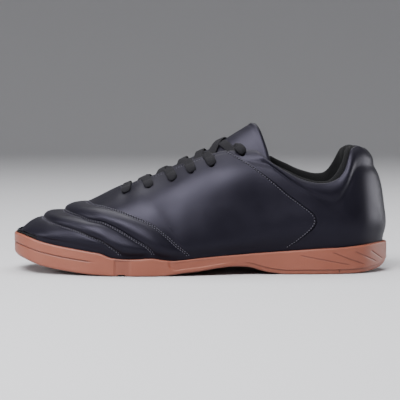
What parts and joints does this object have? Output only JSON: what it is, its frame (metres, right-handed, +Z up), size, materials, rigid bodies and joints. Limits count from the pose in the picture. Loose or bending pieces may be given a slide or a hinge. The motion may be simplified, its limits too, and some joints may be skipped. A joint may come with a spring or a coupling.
{
  "type": "indoor soccer shoe",
  "caption": "Low indoor soccer shoe for the left foot: black smooth synthetic leather upper with a quilted toe, padded collar, flat black laces and a gum rubber cup sole.",
  "frame": {"origin": "on the floor, under the middle of the shoe's box", "axes": "+X from toe to heel, +Z up, the outer (lateral) side of this left shoe faces -Y"},
  "size_m": [0.274, 0.0986, 0.1085],
  "materials": {
    "upper_leather": "satin",
    "gum_rubber": "matte",
    "lining_mesh": "matte",
    "lace_webbing": "matte"
  },
  "bodies": {
    "root": {"outsole": "gum_rubber", "upper": "upper_leather", "insole": "lining_mesh", "tongue": "upper_leather", "collar_pad": "lining_mesh", "lace_bar": "lace_webbing", "lace_cross_1": "lace_webbing", "lace_cross_2": "lace_webbing", "lace_cross_3": "lace_webbing", "lace_cross_4": "lace_webbing", "lace_cross_5": "lace_webbing"}
  },
  "joints": []
}
